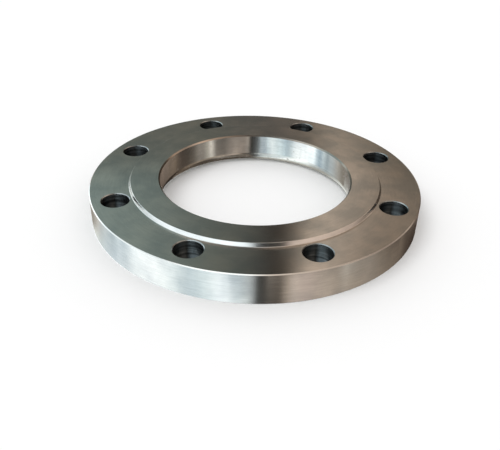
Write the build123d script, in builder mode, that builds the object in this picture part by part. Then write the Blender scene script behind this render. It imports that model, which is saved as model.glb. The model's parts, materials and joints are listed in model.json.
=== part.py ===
from build123d import *
import os

# A flat ring flange, turned and drilled from one forged steel blank.
# It lies on its back face: Z is the bore's axis, and the back face is at Z = 0.
# All sizes are in millimetres.

# Ring
outer_diameter = 280.0
ring_thickness = 25.5  # back face to the bolting face
rim_chamfer = 0.7
bore_diameter = 163.0

# The two ends of the bore
bore_mouth_bevel = 1.2  # at the raised face
bore_back_radius = 10.0  # at the back face, clears the fillet of a stub end's lap

# Bolt holes
bolt_hole_count = 8
bolt_hole_diameter = 22.4
bolt_hole_chamfer = 0.6
rim_wall = 8.15  # metal left between a bolt hole and the rim

# Raised face, turned proud of the bolting face
step_clearance = 2.15  # flat left between a bolt hole and the foot of the step
step_run = 1.3  # how far the sloped step leans in from its foot to its top
raised_face_height = 3.0
step_root_radius = 0.8  # left by the nose of the turning tool
step_edge_radius = 0.3

# Radii and heights that follow
outer_radius = outer_diameter / 2
bore_radius = bore_diameter / 2
bolt_hole_radius = bolt_hole_diameter / 2
bolt_circle_radius = outer_radius - rim_wall - bolt_hole_radius
step_foot_radius = bolt_circle_radius - bolt_hole_radius - step_clearance
raised_face_radius = step_foot_radius - step_run
raised_face_z = ring_thickness + raised_face_height
first_hole_angle = 180.0 / bolt_hole_count  # the holes straddle the centre lines

step_foot = (step_foot_radius, ring_thickness)
step_top = (raised_face_radius, raised_face_z)
bore_back = (bore_radius, 0)

with BuildPart() as flange:
    # Half section of the turned ring, spun about the bore's axis
    with BuildSketch(Plane.XZ) as half_section:
        with BuildLine():
            Polyline(
                step_foot,
                (outer_radius - rim_chamfer, ring_thickness),
                (outer_radius, ring_thickness - rim_chamfer),
                (outer_radius, rim_chamfer),
                (outer_radius - rim_chamfer, 0),
                bore_back,
                (bore_radius, raised_face_z - bore_mouth_bevel),
                (bore_radius + bore_mouth_bevel, raised_face_z),
                step_top,
                close=True,
            )
        make_face()
        fillet(half_section.vertices().sort_by_distance(step_foot)[0], step_root_radius)
        fillet(half_section.vertices().sort_by_distance(step_top)[0], step_edge_radius)
        fillet(half_section.vertices().sort_by_distance(bore_back)[0], bore_back_radius)
    revolve(axis=Axis.Z)

    # Bolt holes, drilled outside the raised face and chamfered on both faces
    for face_plane in (Plane.XY.offset(ring_thickness), -Plane.XY):
        with Locations(face_plane):
            with PolarLocations(
                bolt_circle_radius, bolt_hole_count, start_angle=first_hole_angle
            ):
                CounterSinkHole(
                    bolt_hole_radius,
                    bolt_hole_radius + bolt_hole_chamfer,
                    counter_sink_angle=90,
                )

flange.part.label = "flange"

os.makedirs("parts", exist_ok=True)
export_step(flange.part, "parts/flange.step")
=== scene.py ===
import json
import math

import bpy
import numpy as np
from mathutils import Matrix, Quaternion, Vector


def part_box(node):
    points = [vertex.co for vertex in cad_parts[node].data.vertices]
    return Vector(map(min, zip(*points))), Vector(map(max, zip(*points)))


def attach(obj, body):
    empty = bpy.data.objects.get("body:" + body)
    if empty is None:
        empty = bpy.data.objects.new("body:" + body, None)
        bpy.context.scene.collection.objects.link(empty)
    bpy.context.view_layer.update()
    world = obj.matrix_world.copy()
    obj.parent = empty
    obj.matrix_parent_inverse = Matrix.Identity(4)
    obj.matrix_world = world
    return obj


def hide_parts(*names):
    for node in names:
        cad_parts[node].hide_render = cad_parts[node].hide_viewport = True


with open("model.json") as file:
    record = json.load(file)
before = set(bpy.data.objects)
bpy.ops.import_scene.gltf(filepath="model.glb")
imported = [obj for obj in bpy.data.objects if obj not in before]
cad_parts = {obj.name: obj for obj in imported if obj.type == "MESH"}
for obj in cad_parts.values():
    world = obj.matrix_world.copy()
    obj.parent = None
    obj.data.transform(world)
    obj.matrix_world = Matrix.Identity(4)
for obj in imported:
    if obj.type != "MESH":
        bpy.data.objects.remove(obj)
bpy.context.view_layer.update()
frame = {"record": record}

# A flat ring flange that lies on its back face. Here are its finished surface, the cards that its
# bare steel reflects, the light and the camera. Lengths are in metres.

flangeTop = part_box("flange")[1].z
mountSizes = {mount["name"]: mount["dims"] for mount in frame["record"]["mounts"]}
print("frame loaded")


# Flange

flange = {
    "outerRadius": 0.140,
    "ringThickness": 0.0255,
    "rimChamfer": 0.0007,
    "stepFootRadius": 0.1073,
    "raisedFaceRadius": 0.1060,
    "stepRoot": 0.0005,  # radius that the tool's nose leaves at the foot of the step
    "stepEdge": 0.0003,
    "boreMouthBevel": 0.0012,
    "boreBackRadius": 0.0100,
    "holeChamfer": 0.0006,
    "boreRadius": mountSizes["bore"]["r_mm"] / 1000,
    "boltCircleRadius": mountSizes["bolt_circle"]["pcd_mm"] / 2000,
    "holeRadius": mountSizes["bolt_circle"]["hole_r_mm"] / 1000,
    "holeCount": mountSizes["bolt_circle"]["count"],
    "edgeRound": 0.00012,  # softening that deburring leaves on every edge
    "rimMargin": 0.00036,  # flat ring kept whole inside the rim's softened edge
    "holeMargin": 0.00048,  # and round each hole's
    "sectorSteps": 72,  # round the ring, from one centre line between holes to the next
    "sideSteps": 20,  # across the ring's face
    "faceShares": (0.0, 0.35, 0.62, 0.82),  # rows on the way from a sector's outline to its hole
    "edgeSteps": 4,  # rows round a softened edge
    "cornerSteps": 16,  # rows round the bore's back corner
    "weldGrid": 0.0000005,  # points that share a cell of this size become one
}
regions = [
    "rim", "boltingFace", "step", "raisedFace", "mouth", "bore", "backCorner", "edgeBreak", "holeEdge",
    "hole", "backFace",
]


# A profile corner becomes an arc tangent to both of its sides. The arc's centre lies on the
# bisector, radius / sin(half angle) from the corner, and its points turn evenly about it.
# Each corner is (place, radius, steps of the arc, its region, region of the side after it).
def roundedProfile(corners):
    points, normals, labels = [], [], []
    for index, (corner, radius, arcSteps, arcRegion, sideRegion) in enumerate(corners):
        here = np.array(corner)
        if index in (0, len(corners) - 1):
            other = np.array(corners[1 if index == 0 else -2][0])
            along = (other - here) if index == 0 else (here - other)
            along = along / np.linalg.norm(along)
            points.append(here[None])
            normals.append(np.array([[along[1], -along[0]]]))
            labels.append([sideRegion])
            continue
        before = np.array(corners[index - 1][0]) - here
        after = np.array(corners[index + 1][0]) - here
        before, after = before / np.linalg.norm(before), after / np.linalg.norm(after)
        halfAngle = math.acos(np.clip(before @ after, -1, 1)) / 2
        bisector = (before + after) / np.linalg.norm(before + after)
        centre = here + bisector * radius / math.sin(halfAngle)
        start = here + before * radius / math.tan(halfAngle) - centre
        end = here + after * radius / math.tan(halfAngle) - centre
        turn = math.atan2(start[0] * end[1] - start[1] * end[0], start @ end)
        angles = np.linspace(0, turn, arcSteps + 1)[:, None]
        arc = start * np.cos(angles) + np.array([-start[1], start[0]]) * np.sin(angles)
        points.append(centre + arc)
        normals.append(arc / radius * math.copysign(1, turn))
        labels.append([arcRegion] * arcSteps + [sideRegion])
    return np.concatenate(points), np.concatenate(normals), sum(labels, [])


# Rows follow the profile and columns follow the angle: x = r cos a, y = r sin a, z = z.
def spunPatch(profile, profileNormals, cosines, sines):
    r, z = profile[:, 0:1], profile[:, 1:2]
    places = np.stack([r * cosines, r * sines, z + 0 * cosines], -1)
    nr, nz = profileNormals[:, 0:1], profileNormals[:, 1:2]
    return places, np.stack([nr * cosines, nr * sines, nz + 0 * cosines], -1)


# Quads between neighbouring rows and columns of a grid of vertex numbers.
def gridQuads(rows, columns, first, closed):
    number = first + np.arange(rows * columns).reshape(rows, columns)
    if closed:
        number = np.concatenate([number, number[:, :1]], 1)
    return np.stack([number[:-1, :-1], number[:-1, 1:], number[1:, 1:], number[1:, :-1]], -1)


# Two rings are spun about the axis, one from the step to the back face and one round the rim. Between
# them each hole has a sector: place = outline * (1 - share) + circle * share, then down the hole.
def makeFlangeMesh(size):
    outer, ring, bore = size["outerRadius"], size["ringThickness"], size["boreRadius"]
    foot, top, soft = size["stepFootRadius"], size["raisedFaceRadius"], size["edgeRound"]
    faceInner = foot + size["stepRoot"]
    mouth, chamfer, few = size["boreMouthBevel"], size["rimChamfer"], size["edgeSteps"]
    faceOuter = outer - chamfer - size["rimMargin"]
    innerCorners = [
        ((faceInner, ring), 0, 0, "", "boltingFace"),
        ((foot, ring), size["stepRoot"], few, "step", "step"),
        ((top, flangeTop), size["stepEdge"], few, "edgeBreak", "raisedFace"),
        ((bore + mouth, flangeTop), soft, few, "mouth", "mouth"),
        ((bore, flangeTop - mouth), soft, few, "mouth", "bore"),
        ((bore, 0), size["boreBackRadius"], size["cornerSteps"], "backCorner", "backFace"),
        ((faceInner, 0), 0, 0, "", "backFace"),
    ]
    rimCorners = [
        ((faceOuter, 0), 0, 0, "", "backFace"),
        ((outer - chamfer, 0), soft, few, "edgeBreak", "edgeBreak"),
        ((outer, chamfer), soft, few, "edgeBreak", "rim"),
        ((outer, ring - chamfer), soft, few, "edgeBreak", "edgeBreak"),
        ((outer - chamfer, ring), soft, few, "edgeBreak", "boltingFace"),
        ((faceOuter, ring), 0, 0, "", "boltingFace"),
    ]
    count = size["holeCount"] * size["sectorSteps"]
    angles = np.arange(count) * 2 * math.pi / count
    cosines, sines = np.cos(angles), np.sin(angles)
    allPlaces, allNormals, allQuads, allLabels = [], [], [], []
    total = 0

    def keep(places, normals, closed, labels):
        nonlocal total
        rows, columns = places.shape[:2]
        quads = gridQuads(rows, columns, total, closed)
        allPlaces.append(places.reshape(-1, 3))
        allNormals.append(normals.reshape(-1, 3))
        allLabels.append(np.repeat([regions.index(label) for label in labels], quads.shape[1]))
        allQuads.append(quads.reshape(-1, 4))
        total += rows * columns

    for corners in (innerCorners, rimCorners):
        profile, profileNormals, labels = roundedProfile(corners)
        places, normals = spunPatch(profile, profileNormals, cosines, sines)
        keep(places, normals, True, labels[:-1])

    # A hole's sector: rows run from the sector's outline over the face to the hole's mouth,
    # down its wall and out again over the back face; columns go once round the hole.
    hole, holeChamfer = size["holeRadius"], size["holeChamfer"]
    far = hole + holeChamfer + size["holeMargin"]
    holeCorners = [
        ((far, ring), 0, 0, "", "boltingFace"),
        ((hole + holeChamfer, ring), soft, few, "holeEdge", "holeEdge"),
        ((hole, ring - holeChamfer), soft, few, "holeEdge", "hole"),
        ((hole, holeChamfer), soft, few, "holeEdge", "holeEdge"),
        ((hole + holeChamfer, 0), soft, few, "holeEdge", "backFace"),
        ((far, 0), 0, 0, "", "backFace"),
    ]
    holeProfile, holeNormals, holeLabels = roundedProfile(holeCorners)
    faceRows = len(size["faceShares"])
    shares = np.array(size["faceShares"])[:, None, None]
    onFace, above, below = np.zeros(faceRows), np.ones(faceRows), -np.ones(faceRows)
    height = np.concatenate([above * ring, holeProfile[:, 1], onFace])
    up = np.concatenate([above, holeNormals[:, 1], below])
    outward = np.concatenate([onFace, holeNormals[:, 0], onFace])
    labels = ["boltingFace"] * faceRows + holeLabels[:-1] + ["backFace"] * faceRows
    sides = np.linspace(0, 1, size["sideSteps"] + 1)[1:-1]
    side = faceInner + (faceOuter - faceInner) * sides
    for sector in range(size["holeCount"]):
        first = sector * size["sectorSteps"]
        steps = np.arange(first, first + size["sectorSteps"] + 1) % count
        low, high = steps[0], steps[-1]
        rim = np.stack([faceOuter * cosines[steps], faceOuter * sines[steps]], -1)
        root = np.stack([faceInner * cosines[steps], faceInner * sines[steps]], -1)
        highSide = np.stack([side * cosines[high], side * sines[high]], -1)[::-1]
        lowSide = np.stack([side * cosines[low], side * sines[low]], -1)
        outline = np.concatenate([rim, highSide, root[::-1], lowSide])
        middle = (first + size["sectorSteps"] / 2) * 2 * math.pi / count
        centre = size["boltCircleRadius"] * np.array([math.cos(middle), math.sin(middle)])
        away = outline - centre
        away = away / np.linalg.norm(away, axis=1, keepdims=True)
        circle = centre + away * far
        flat = outline * (1 - shares) + circle * shares
        wall = centre + holeProfile[:, 0][:, None, None] * away
        plan = np.concatenate([flat, wall, flat[::-1]])
        places = np.concatenate([plan, np.repeat(height[:, None, None], len(outline), 1)], -1)
        normals = np.concatenate(
            [outward[:, None, None] * away, np.repeat(up[:, None, None], len(outline), 1)], -1
        )
        keep(places, normals, True, labels)

    places, normals = np.concatenate(allPlaces), np.concatenate(allNormals)
    quads, slots = np.concatenate(allQuads), np.concatenate(allLabels)
    keys = np.round(places / size["weldGrid"]).astype(np.int64)
    _, firstUse, number = np.unique(keys, axis=0, return_index=True, return_inverse=True)
    mesh = bpy.data.meshes.new("flangeTurned")
    mesh.from_pydata(places[firstUse], [], number.ravel()[quads].tolist())
    mesh.polygons.foreach_set("material_index", slots.astype(np.int32))
    mesh.polygons.foreach_set("use_smooth", np.ones(len(quads), bool))
    mesh.normals_split_custom_set_from_vertices(normals[firstUse].tolist())
    mesh.update()
    return mesh


flangeMesh = makeFlangeMesh(flange)
flangePiece = bpy.data.objects.new("flange_turned", flangeMesh)
bpy.context.scene.collection.objects.link(flangePiece)
print("flange mesh:", len(flangeMesh.vertices), "vertices,", len(flangeMesh.polygons), "quads")


# Materials

colourA, colourB, mixedColour = 6, 7, 2  # a Mix node's sockets for colours


# From sRGB to linear: c / 12.92 for the darkest tones, and ((c + 0.055) / 1.055) ^ 2.4 for the rest.
def linearColour(hexCode):
    channels = [int(hexCode[i : i + 2], 16) / 255 for i in (1, 3, 5)]
    return tuple(c / 12.92 if c <= 0.04045 else ((c + 0.055) / 1.055) ** 2.4 for c in channels) + (1,)


# Adds a node with its settings. Each input is a value, or the socket that feeds it.
def addNode(tree, kind, inputs=None, **settings):
    node = tree.nodes.new(kind)
    for name, value in settings.items():
        setattr(node, name, value)
    for name, value in (inputs or {}).items():
        if isinstance(value, bpy.types.NodeSocket):
            tree.links.new(value, node.inputs[name])
        else:
            node.inputs[name].default_value = value
    return node


# Carbon steel turned on a lathe: satin, with grooves too fine to count that smear every reflection
# across them, faint darker and lighter rings where the tool dwelt, and handling stains.
# Grooves are about 0.2 mm apart on the real one and are drawn 1.1 mm apart, so that they show.
steel = {
    "ringSpacing": 0.0011,
    "ringLength": 0.016,  # how far a ring runs before it fades
    "ringContrast": (0.3, 0.7),  # noise at the darkest and the lightest ring
    "grooveDepth": 0.0004,
    "stainSize": 0.024,
    "stainContrast": (0.36, 0.64),  # noise at the dullest and the palest stain
    "stainGloss": 0.02,  # how much smoother than its finish the palest stain is
    "speckSize": 0.0022,
    "rust": "#5e4c3a",
    "rustReach": 0.009,  # how far rust has crept up the bore from the back face
    "rustCreep": (0.14, -0.06),  # what the height adds to the noise, at the back face and past that reach
    "rustClumping": 0.45,  # how much the rust keeps to the stains
    "rustContrast": (0.86, 0.98),  # noise where rust starts and where it is full
    "rustRoughness": 0.35,
}
# Per surface: "dull" where oil and thumbs have darkened it, "pale" where handling has polished it.
# "across" is the way over the grooves: z along the bore's axis, r away from it.
finishes = {
    "rim": {
        "across": "z", "dull": "#9c9d9c", "pale": "#b4b2ae", "stains": 0.7,
        "roughness": 0.165, "smear": 0.78, "rings": 0.07, "bump": 0.02,
    },
    "boltingFace": {
        "across": "r", "dull": "#9b9b98", "pale": "#b6b0a9", "stains": 0.85,
        "roughness": 0.18, "smear": 0.78, "rings": 0.06, "bump": 0.02,
    },
    "raisedFace": {
        "across": "r", "dull": "#9b9b98", "pale": "#b6b0a9", "stains": 0.85,
        "roughness": 0.18, "smear": 0.78, "rings": 0.06, "bump": 0.02,
    },
    # The step's colours are lighter than the rest of the turned steel. That is a painted highlight for the
    # bright band the step shows.
    "step": {
        "across": "z", "dull": "#c4c4c2", "pale": "#d2d0ce", "stains": 0.8,
        "roughness": 0.20, "smear": 0.2, "rings": 0.04,
    },
    # The mouth's colours are darker and warmer than the bore's. That is painted shade of the bevel.
    "mouth": {
        "across": "r", "dull": "#87847f", "pale": "#a39b93", "stains": 1.0,
        "roughness": 0.20, "smear": 0.2, "rings": 0.0,
    },
    "bore": {
        "across": "z", "dull": "#9a9b9a", "pale": "#b4b2ae", "stains": 0.9,
        "roughness": 0.17, "smear": 0.78, "rings": 0.07, "bump": 0.02, "rust": 0.75,
    },
    "backCorner": {
        "across": "z", "dull": "#908e8a", "pale": "#b0aea9", "stains": 1.0,
        "roughness": 0.20, "smear": 0.6, "rings": 0.08, "rust": 0.65,
    },
    # The edge breaks' colours are lighter than the rest of the turned steel. That is a painted highlight
    # along every softened edge and chamfer.
    "edgeBreak": {
        "across": "z", "dull": "#cfcfcd", "pale": "#d6d4d2", "stains": 0.5,
        "roughness": 0.18, "smear": 0.2, "rings": 0.0,
    },
    # The hole edges' colours are darker than the faces beside them. That is painted shade on the holes'
    # chamfers.
    "holeEdge": {
        "across": "z", "dull": "#82878a", "pale": "#9ea3a5", "stains": 1.0,
        "roughness": 0.26, "smear": 0.2, "rings": 0.0,
    },
    "backFace": {
        "across": "r", "dull": "#8a8986", "pale": "#b0a89e", "stains": 1.0,
        "roughness": 0.30, "smear": 0.6, "rings": 0.12, "bump": 0.02,
    },
}


# Rust gathers in specks near the back face: specks + stains * clumping + creep, which falls with height.
def rustShare(tree, place, height, stains, finish):
    specks = addNode(
        tree, "ShaderNodeTexNoise",
        {"Vector": place, "Scale": 1 / steel["speckSize"], "Detail": 4.0, "Roughness": 0.6},
    ).outputs["Fac"]
    creep = addNode(
        tree, "ShaderNodeMapRange",
        {"Value": height, "From Max": steel["rustReach"],
            "To Min": steel["rustCreep"][0], "To Max": steel["rustCreep"][1]},
    ).outputs[0]
    patchy = addNode(
        tree, "ShaderNodeMath", {0: stains, 1: steel["rustClumping"], 2: creep}, operation="MULTIPLY_ADD"
    ).outputs[0]
    together = addNode(tree, "ShaderNodeMath", {0: specks, 1: patchy}, operation="ADD").outputs[0]
    return addNode(
        tree, "ShaderNodeMapRange",
        {"Value": together, "From Min": steel["rustContrast"][0], "From Max": steel["rustContrast"][1],
            "To Max": finish["rust"]},
    ).outputs[0]


# Noise drawn long round the bore's axis and short across the grooves: its place is
# (x / length, y / length, across / spacing), with across the height or the distance from the axis.
def turnedSteel(name, finish):
    material = bpy.data.materials.new("turnedSteel_" + name)
    material.use_nodes = True
    tree = material.node_tree
    shader = tree.nodes["Principled BSDF"]
    place = addNode(tree, "ShaderNodeTexCoord").outputs["Object"]
    parts = addNode(tree, "ShaderNodeSeparateXYZ", {"Vector": place}).outputs
    flat = addNode(tree, "ShaderNodeCombineXYZ", {"X": parts["X"], "Y": parts["Y"]}).outputs[0]
    radius = addNode(tree, "ShaderNodeVectorMath", {0: flat}, operation="LENGTH").outputs["Value"]
    minusY = addNode(tree, "ShaderNodeMath", {0: parts["Y"], 1: -1.0}, operation="MULTIPLY").outputs[0]
    aroundAxis = addNode(tree, "ShaderNodeCombineXYZ", {"X": minusY, "Y": parts["X"]}).outputs[0]
    across = parts["Z"] if finish["across"] == "z" else radius
    stretch = steel["ringLength"] / steel["ringSpacing"]
    scaled = addNode(tree, "ShaderNodeMath", {0: across, 1: stretch}, operation="MULTIPLY").outputs[0]
    drawn = addNode(
        tree, "ShaderNodeCombineXYZ", {"X": parts["X"], "Y": parts["Y"], "Z": scaled}
    ).outputs[0]
    rings = addNode(
        tree, "ShaderNodeTexNoise",
        {"Vector": drawn, "Scale": 1 / steel["ringLength"], "Detail": 3.0, "Roughness": 0.6},
    ).outputs["Fac"]
    stains = addNode(
        tree, "ShaderNodeTexNoise",
        {"Vector": place, "Scale": 1 / steel["stainSize"], "Detail": 4.0, "Roughness": 0.52},
    ).outputs["Fac"]
    paleShare = addNode(
        tree, "ShaderNodeMapRange",
        {"Value": stains, "From Min": steel["stainContrast"][0], "From Max": steel["stainContrast"][1],
            "To Min": 0.5 - 0.5 * finish["stains"], "To Max": 0.5 + 0.5 * finish["stains"]},
    ).outputs[0]
    tone = addNode(
        tree, "ShaderNodeMix",
        {"Factor": paleShare, colourA: linearColour(finish["dull"]), colourB: linearColour(finish["pale"])},
        data_type="RGBA",
    ).outputs[mixedColour]
    ringShade = addNode(
        tree, "ShaderNodeMapRange",
        {"Value": rings, "From Min": steel["ringContrast"][0], "From Max": steel["ringContrast"][1],
            "To Min": 1 - finish["rings"], "To Max": 1 + finish["rings"]},
    ).outputs[0]
    tone = addNode(
        tree, "ShaderNodeMix", {"Factor": 1.0, colourA: tone, colourB: ringShade},
        data_type="RGBA", blend_type="MULTIPLY",
    ).outputs[mixedColour]
    rough = addNode(
        tree, "ShaderNodeMapRange",
        {"Value": paleShare, "To Min": finish["roughness"] + steel["stainGloss"],
            "To Max": finish["roughness"] - steel["stainGloss"]},
    ).outputs[0]
    shader.inputs["Metallic"].default_value = 1
    if "rust" in finish:
        rust = rustShare(tree, place, parts["Z"], stains, finish)
        tone = addNode(
            tree, "ShaderNodeMix", {"Factor": rust, colourA: tone, colourB: linearColour(steel["rust"])},
            data_type="RGBA",
        ).outputs[mixedColour]
        bare = addNode(tree, "ShaderNodeMath", {0: 1.0, 1: rust}, operation="SUBTRACT").outputs[0]
        tree.links.new(bare, shader.inputs["Metallic"])
        rough = addNode(
            tree, "ShaderNodeMath", {0: rust, 1: steel["rustRoughness"], 2: rough}, operation="MULTIPLY_ADD"
        ).outputs[0]
    tree.links.new(tone, shader.inputs["Base Color"])
    tree.links.new(rough, shader.inputs["Roughness"])
    shader.inputs["Anisotropic"].default_value = finish["smear"]
    shader.inputs["Anisotropic Rotation"].default_value = 0.25  # the smear lies across the grooves
    tree.links.new(aroundAxis, shader.inputs["Tangent"])
    if "bump" in finish:
        bump = addNode(
            tree, "ShaderNodeBump",
            {"Height": rings, "Strength": finish["bump"], "Distance": steel["grooveDepth"]},
        ).outputs["Normal"]
        tree.links.new(bump, shader.inputs["Normal"])
    return material


# Carbon steel as a drill leaves it in the bolt holes: rougher than the turned steel, and darker, which is
# painted shade of the holes, with the drill's feed marks round the wall, and darker still towards the back
# face, which is painted shade of the holes' depth.
# Feed marks are about 0.3 mm apart on the real one and are drawn 2 mm apart, so that they show.
drilling = {
    # darker than the turned steel: painted shade of the holes
    "colour": "#747a7c",
    "roughness": 0.36,
    "smear": 0.5,
    "markSpacing": 0.00195,
    "markStretch": 0.06,  # the noise's scale across the hole, as a share of its scale along it
    "markContrast": (0.35, 0.65),  # noise at the darkest and the lightest mark
    "markShade": (0.35, 1.25),  # what the colour is multiplied by there
    "markBump": 0.4,
    "markDepth": 0.0005,
    # painted shade: the colour falls to this share at the back face
    "deepestShade": 0.08,  # what is left of the colour at the back face
}


def drilledSteel():
    material = bpy.data.materials.new("drilledSteel")
    material.use_nodes = True
    tree = material.node_tree
    shader = tree.nodes["Principled BSDF"]
    place = addNode(tree, "ShaderNodeTexCoord").outputs["Object"]
    stretch = (drilling["markStretch"], drilling["markStretch"], 1.0)
    stretched = addNode(tree, "ShaderNodeMapping", {"Vector": place, "Scale": stretch}).outputs[0]
    marks = addNode(
        tree, "ShaderNodeTexNoise",
        {"Vector": stretched, "Scale": 1 / drilling["markSpacing"], "Detail": 2.0},
    ).outputs["Fac"]
    markShade = addNode(
        tree, "ShaderNodeMapRange",
        {"Value": marks, "From Min": drilling["markContrast"][0], "From Max": drilling["markContrast"][1],
            "To Min": drilling["markShade"][0], "To Max": drilling["markShade"][1]},
    ).outputs[0]
    height = addNode(tree, "ShaderNodeSeparateXYZ", {"Vector": place}).outputs["Z"]
    # Painted shade: the colour darkens the deeper it lies in the hole, from the top face down to the back
    # face.
    paintedDepthShade = addNode(
        tree, "ShaderNodeMapRange",
        {"Value": height, "From Max": flange["ringThickness"], "To Min": drilling["deepestShade"], "To Max": 1.0},
    ).outputs[0]
    shade = addNode(tree, "ShaderNodeMath", {0: markShade, 1: paintedDepthShade}, operation="MULTIPLY").outputs[0]
    tone = addNode(
        tree, "ShaderNodeMix", {"Factor": 1.0, colourA: linearColour(drilling["colour"]), colourB: shade},
        data_type="RGBA", blend_type="MULTIPLY",
    ).outputs[mixedColour]
    tree.links.new(tone, shader.inputs["Base Color"])
    shader.inputs["Metallic"].default_value = 1
    shader.inputs["Roughness"].default_value = drilling["roughness"]
    shader.inputs["Anisotropic"].default_value = drilling["smear"]
    alongHole = addNode(tree, "ShaderNodeCombineXYZ", {"Z": 1.0}).outputs[0]
    tree.links.new(alongHole, shader.inputs["Tangent"])
    bump = addNode(
        tree, "ShaderNodeBump",
        {"Height": marks, "Strength": drilling["markBump"], "Distance": drilling["markDepth"]},
    ).outputs["Normal"]
    tree.links.new(bump, shader.inputs["Normal"])
    return material


for name in regions:
    flangeMesh.materials.append(drilledSteel() if name == "hole" else turnedSteel(name, finishes[name]))

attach(flangePiece, "root")
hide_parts("flange")
print("materials done")


# Floor

floor = {"reach": 3.0, "colour": "#ffffff"}
floorMesh = bpy.data.meshes.new("floor")
reach = floor["reach"]
floorCorners = [(-reach, -reach, 0), (reach, -reach, 0), (reach, reach, 0), (-reach, reach, 0)]
floorMesh.from_pydata(floorCorners, [], [(0, 1, 2, 3)])
floorPiece = bpy.data.objects.new("floor", floorMesh)
bpy.context.scene.collection.objects.link(floorPiece)
floorMaterial = bpy.data.materials.new("whitePaper")
floorMaterial.use_nodes = True
floorShader = floorMaterial.node_tree.nodes["Principled BSDF"]
floorShader.inputs["Base Color"].default_value = linearColour(floor["colour"])
floorShader.inputs["Roughness"].default_value = 1.0
floorShader.inputs["Specular IOR Level"].default_value = 0.0
floorMesh.materials.append(floorMaterial)
floorPiece.visible_glossy = False  # the steel shows the cards below the horizon instead


# Reflection cards, seen only in the metal, which is bare and shows little but its surroundings.
# Angles are in degrees: a turn of 0 is the camera's side, with plus to its right, and rise is the
# height above the horizon. A card's stops are its colours along the turn.

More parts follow.
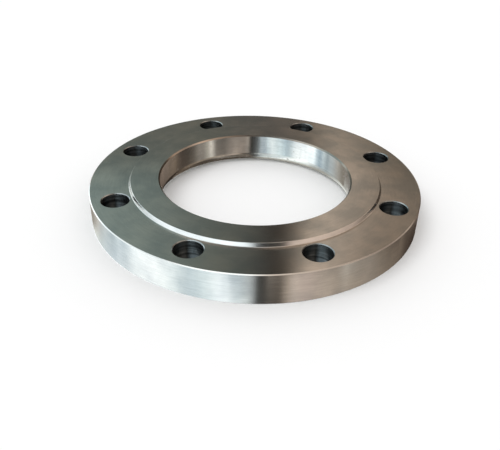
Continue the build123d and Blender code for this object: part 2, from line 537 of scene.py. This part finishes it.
cards = {
    "distance": 1.5,
    "strength": 3.1,
    "columns": 96,
    "rows": 12,
    "streaksPerDegree": 0.3,
    "underCard": {  # the rounded back corner of the bore shows this one
        "rises": (-89.9, -46), "turns": (-180, 180), "streaks": 0.10,
        "stops": [
            (-180, "#8c8c88"), (-166, "#90908a"), (-145, "#8c8a84"), (-120, "#b8bcb8"), (-100, "#a8b4b8"),
            (-69, "#f4fafc"), (-41, "#b0bec6"), (-22, "#ccd6d8"), (-6, "#8c969c"), (-4, "#2c2c2c"),
            (8, "#2c2a28"), (12, "#6c645c"), (43, "#48443f"), (61, "#847e78"), (79, "#48443f"),
            (99, "#38322e"), (126, "#504840"), (180, "#2a221c"),
        ],
    },
    "lowBandCard": {  # the rim shows this one
        "rises": (-46, -31), "turns": (-180, 180), "streaks": 0.05,
        "stops": [
            (-180, "#90908c"), (-174, "#a4a6a4"), (-142, "#acafab"), (-127, "#9aa4a6"), (-107, "#b4bec4"),
            (-92, "#c0c8cc"), (-80, "#d8dee0"), (-69, "#dfe5e8"), (-60, "#dce4e6"), (-54, "#ced8db"),
            (-42, "#b8c4c9"), (-30, "#c6d2d6"), (-20, "#dce4ea"), (-9, "#bac4c8"), (-3, "#c4ccce"),
            (1.5, "#8c9092"), (3, "#464644"), (12, "#322f2c"), (18, "#38342f"), (22, "#847a70"),
            (27, "#b0a49a"), (34, "#a69991"), (49, "#9c9186"), (65, "#82776c"), (81, "#8a7e72"),
            (102, "#74685c"), (126, "#50453c"), (152, "#4c443c"), (180, "#60584f"),
        ],
    },
    "rimEndCard": {  # the rim's right end shows this one
        "rises": (-40, -28.3), "turns": (112, 181), "streaks": 0.0, "nearer": 0.04,
        "stops": [(112, "#665b50"), (122, "#403730"), (135, "#241d19"), (181, "#16110f")],
    },
    "rimStartCard": {  # and its left end this one
        "rises": (-34, -28.3), "turns": (-180, -153), "streaks": 0.0, "nearer": 0.04,
        "stops": [(-180, "#b0b2b0"), (-153, "#b2b5b2")],
    },
    "midBandCard": {  # the bore's wall shows this one and the next
        "rises": (-31, -6), "turns": (-180, 180), "streaks": 0.16,
        "stops": [
            (-180, "#504c48"), (-150, "#5c564f"), (-136, "#747069"), (-126, "#98948e"), (-118, "#a0a4a4"),
            (-110, "#a8b0b2"), (-106, "#7c888c"), (-97, "#b8c4c8"), (-94, "#8498a4"), (-87, "#94a6b0"),
            (-83, "#e0ecf2"), (-69, "#e8f0f4"), (-54, "#d0d8dc"), (-47, "#a4b2b8"), (-41, "#8c9ea8"),
            (-33, "#b4c4ca"), (-22, "#ccd6d8"), (-16, "#bccacf"), (-13, "#8c9aa2"), (-6, "#8c969c"),
            (-3, "#242424"), (8, "#242220"), (10, "#a0988f"), (14, "#847a72"), (27, "#7c746c"),
            (43, "#4c4945"), (54, "#585450"), (60, "#c0bcb4"), (66, "#908c84"), (72, "#6c6863"),
            (80, "#6c6863"),
        ],
    },
    "midRightCard": {
        "rises": (-31, -6), "turns": (79, 181), "streaks": 0.10, "nearer": 0.02,
        "stops": [
            (79, "#6c6863"), (88, "#4c4741"), (99, "#38322d"), (112, "#3c3530"), (124, "#665b50"),
            (145, "#70645a"), (181, "#4c423a"),
        ],
    },
    "horizonCard": {  # the step of the raised face shows this one
        "rises": (-6, 22), "turns": (-120, 120), "streaks": 0.05,
        "stops": [
            (-120, "#a2afb3"), (-100, "#afb8bc"), (-60, "#bcc4c8"), (-4, "#c4ccd0"), (0, "#868c8e"),
            (2, "#141312"), (24, "#181614"), (31, "#9c8e84"), (60, "#95867b"), (90, "#7f7268"),
            (104, "#665b52"), (120, "#5a4f46"),
        ],
    },
    "frontHighCard": {  # the rim's chamfer shows this one, and so do the flat faces from behind
        "rises": (22, 42), "turns": (-120, 120), "streaks": 0.05,
        "stops": [
            (-120, "#a8aeb0"), (-80, "#aeb5b7"), (-50, "#949a9c"), (-25, "#747a7c"), (0, "#626462"),
            (30, "#6c655e"), (60, "#7c7066"), (85, "#665b52"), (98, "#574d45"), (120, "#40362f"),
        ],
    },
    "leftSillCard": {  # the step's ends show this one and the next, by way of the bolting face
        "rises": (-9, 16), "turns": (-138, -100), "streaks": 0.0, "nearer": 0.05,
        "stops": [(-138, "#c0cacd"), (-122, "#dce4e6"), (-100, "#bfc9cc")],
    },
    "rightSillCard": {
        "rises": (-9, 15), "turns": (98, 175), "streaks": 0.0, "nearer": 0.05,
        "stops": [
            (98, "#665b52"), (108, "#8c7f73"), (113, "#73675d"), (119, "#4c4138"), (128, "#362d27"),
            (175, "#2b241d"),
        ],
    },
    "farLowCard": {  # the flat faces show this one and the next
        "rises": (0, 26), "turns": (120, 240), "streaks": 0.0,
        "stops": [
            (120, "#342e28"), (150, "#38332c"), (163, "#464138"), (167, "#665e55"), (170, "#6e665d"),
            (172, "#6c645b"), (175, "#5c5650"), (178, "#4e4a46"), (183, "#4c4a46"), (187, "#4e4e49"),
            (205, "#494c48"), (211, "#5c605c"), (220, "#a0a6a4"), (240, "#b0b6b4"),
        ],
    },
    "farHighCard": {
        "rises": (26, 76), "turns": (110, 250), "streaks": 0.0,
        "stops": [
            (110, "#a08e80"), (135, "#8c7c6e"), (148, "#5c534a"), (162, "#6c6258"), (166, "#8e847a"),
            (169, "#a0958a"), (171.5, "#a49a8e"), (172.7, "#3c3834"), (173.5, "#121110"),
            (177, "#1a1a19"), (179, "#383a38"), (183, "#484c49"), (186, "#50544f"), (190, "#555c59"),
            (198, "#606c6a"), (205, "#6e7c7a"), (250, "#84969a"),
        ],
    },
    "overheadCard": {  # chamfers and edges show this one
        "rises": (42, 59), "turns": (-110, 110), "streaks": 0.0,
        "stops": [
            (-110, "#a8aca8"), (-70, "#ccd0d0"), (-4, "#ccd0d0"), (12, "#968c82"), (60, "#85796e"),
            (90, "#b8a698"), (110, "#b8a698"),
        ],
    },
    "crownCard": {  # the mouth of the bore shows this one
        "rises": (59, 84), "turns": (-110, 110), "streaks": 0.0,
        "stops": [
            (-110, "#a89a8e"), (-60, "#686866"), (-20, "#444644"), (20, "#44403c"), (60, "#8c7c70"),
            (110, "#b4a090"),
        ],
    },
}


# A patch of a sphere round the flange: place = distance * (cos rise * cos turn, cos rise * sin turn,
# sin rise). Its own UV map runs from 0 to 1 along the turn and the rise.
def curvedCard(name, card):
    columns, rows = cards["columns"], cards["rows"]
    u, v = np.meshgrid(np.linspace(0, 1, columns + 1), np.linspace(0, 1, rows + 1))
    turns, rises = card["turns"], card["rises"]
    span = turns[1] - turns[0]
    turn = np.radians(turns[0] + span * u - 90)
    rise = np.radians(rises[0] + (rises[1] - rises[0]) * v)
    distance = cards["distance"] - card.get("nearer", 0)
    level = np.cos(rise)
    places = distance * np.stack([level * np.cos(turn), level * np.sin(turn), np.sin(rise)], -1)
    quads = gridQuads(rows + 1, columns + 1, 0, False).reshape(-1, 4)
    mesh = bpy.data.meshes.new(name)
    mesh.from_pydata(places.reshape(-1, 3), [], quads.tolist())
    uvMap = mesh.uv_layers.new(name="card")
    corners = np.stack([u.ravel(), v.ravel()], -1)[quads.ravel()]
    uvMap.data.foreach_set("uv", corners.astype(np.float32).ravel())
    material = bpy.data.materials.new(name)
    material.use_nodes = True
    tree = material.node_tree
    tree.nodes.clear()
    uv = addNode(tree, "ShaderNodeUVMap", uv_map="card").outputs["UV"]
    alongTurn = addNode(tree, "ShaderNodeSeparateXYZ", {"Vector": uv}).outputs["X"]
    ramp = addNode(tree, "ShaderNodeValToRGB", {"Fac": alongTurn})
    elements = ramp.color_ramp.elements
    while len(elements) > 1:
        elements.remove(elements[-1])
    for index, (angle, colour) in enumerate(card["stops"]):
        share = (angle - turns[0]) / span
        element = elements[0] if index == 0 else elements.new(share)
        element.position = share
        element.color = linearColour(colour)
    degrees = addNode(
        tree, "ShaderNodeMath", {0: alongTurn, 1: float(span)}, operation="MULTIPLY"
    ).outputs[0]
    wander = addNode(
        tree, "ShaderNodeTexNoise", {"W": degrees, "Scale": cards["streaksPerDegree"], "Detail": 2.0},
        noise_dimensions="1D",
    ).outputs["Fac"]
    strength = addNode(
        tree, "ShaderNodeMapRange",
        {"Value": wander, "From Min": 0.3, "From Max": 0.7,
            "To Min": cards["strength"] * (1 - card["streaks"]),
            "To Max": cards["strength"] * (1 + card["streaks"])},
    ).outputs[0]
    light = addNode(tree, "ShaderNodeEmission", {"Color": ramp.outputs["Color"], "Strength": strength})
    addNode(tree, "ShaderNodeOutputMaterial", {"Surface": light.outputs[0]})
    mesh.materials.append(material)
    piece = bpy.data.objects.new(name, mesh)
    bpy.context.scene.collection.objects.link(piece)
    for ray in ("visible_camera", "visible_diffuse", "visible_shadow", "visible_transmission"):
        setattr(piece, ray, False)


for name, card in cards.items():
    if name.endswith("Card"):
        curvedCard(name, card)


# Light

sky = {"colour": "#ffffff", "onSurfaces": 0.82}  # the rest of the floor's light comes from the lamp
world = bpy.data.worlds.new("whiteStudio")
world.use_nodes = True
worldTree = world.node_tree
background = worldTree.nodes["Background"]
background.inputs["Color"].default_value = linearColour(sky["colour"])
rays = addNode(worldTree, "ShaderNodeLightPath").outputs
seenOrMirrored = addNode(
    worldTree, "ShaderNodeMath", {0: rays["Is Camera Ray"], 1: rays["Is Glossy Ray"]}, operation="ADD"
).outputs[0]
seen = addNode(
    worldTree, "ShaderNodeMath", {0: seenOrMirrored, 1: rays["Is Transmission Ray"]},
    operation="ADD", use_clamp=True,
).outputs[0]
level = addNode(
    worldTree, "ShaderNodeMapRange", {"Value": seen, "To Min": sky["onSurfaces"], "To Max": 1.0}
).outputs[0]
worldTree.links.new(level, background.inputs["Strength"])
bpy.context.scene.world = world

lamp = {"strength": 0.72, "spread": 32, "from": (-0.45, -0.25, 0.86)}  # a sun, 32 degrees wide
lampData = bpy.data.lights.new("softLamp", "SUN")
lampData.energy = lamp["strength"]
lampData.angle = math.radians(lamp["spread"])
lampPiece = bpy.data.objects.new("softLamp", lampData)
lampPiece.rotation_mode = "QUATERNION"
lampPiece.rotation_quaternion = (-Vector(lamp["from"])).to_track_quat("-Z", "Y")
lampPiece.visible_glossy = False
bpy.context.scene.collection.objects.link(lampPiece)


# Camera

view = {
    "place": (-0.0005, -0.4621, 0.2687),
    "aim": (-0.0030, -0.0610, 0.0150),
    "lens": 43.34,
    "sensor": 36,
    "roll": 1.4,  # degrees
}
camera = bpy.data.objects.new("camera", bpy.data.cameras.new("camera"))
bpy.context.scene.collection.objects.link(camera)
camera.location = view["place"]
camera.rotation_mode = "QUATERNION"
straight = (Vector(view["aim"]) - Vector(view["place"])).to_track_quat("-Z", "Y")
camera.rotation_quaternion = straight @ Quaternion((0, 0, 1), math.radians(view["roll"]))
camera.data.lens = view["lens"]
camera.data.sensor_width = view["sensor"]
bpy.context.scene.camera = camera
bpy.context.scene.view_settings.view_transform = "Standard"
print("light and camera done")
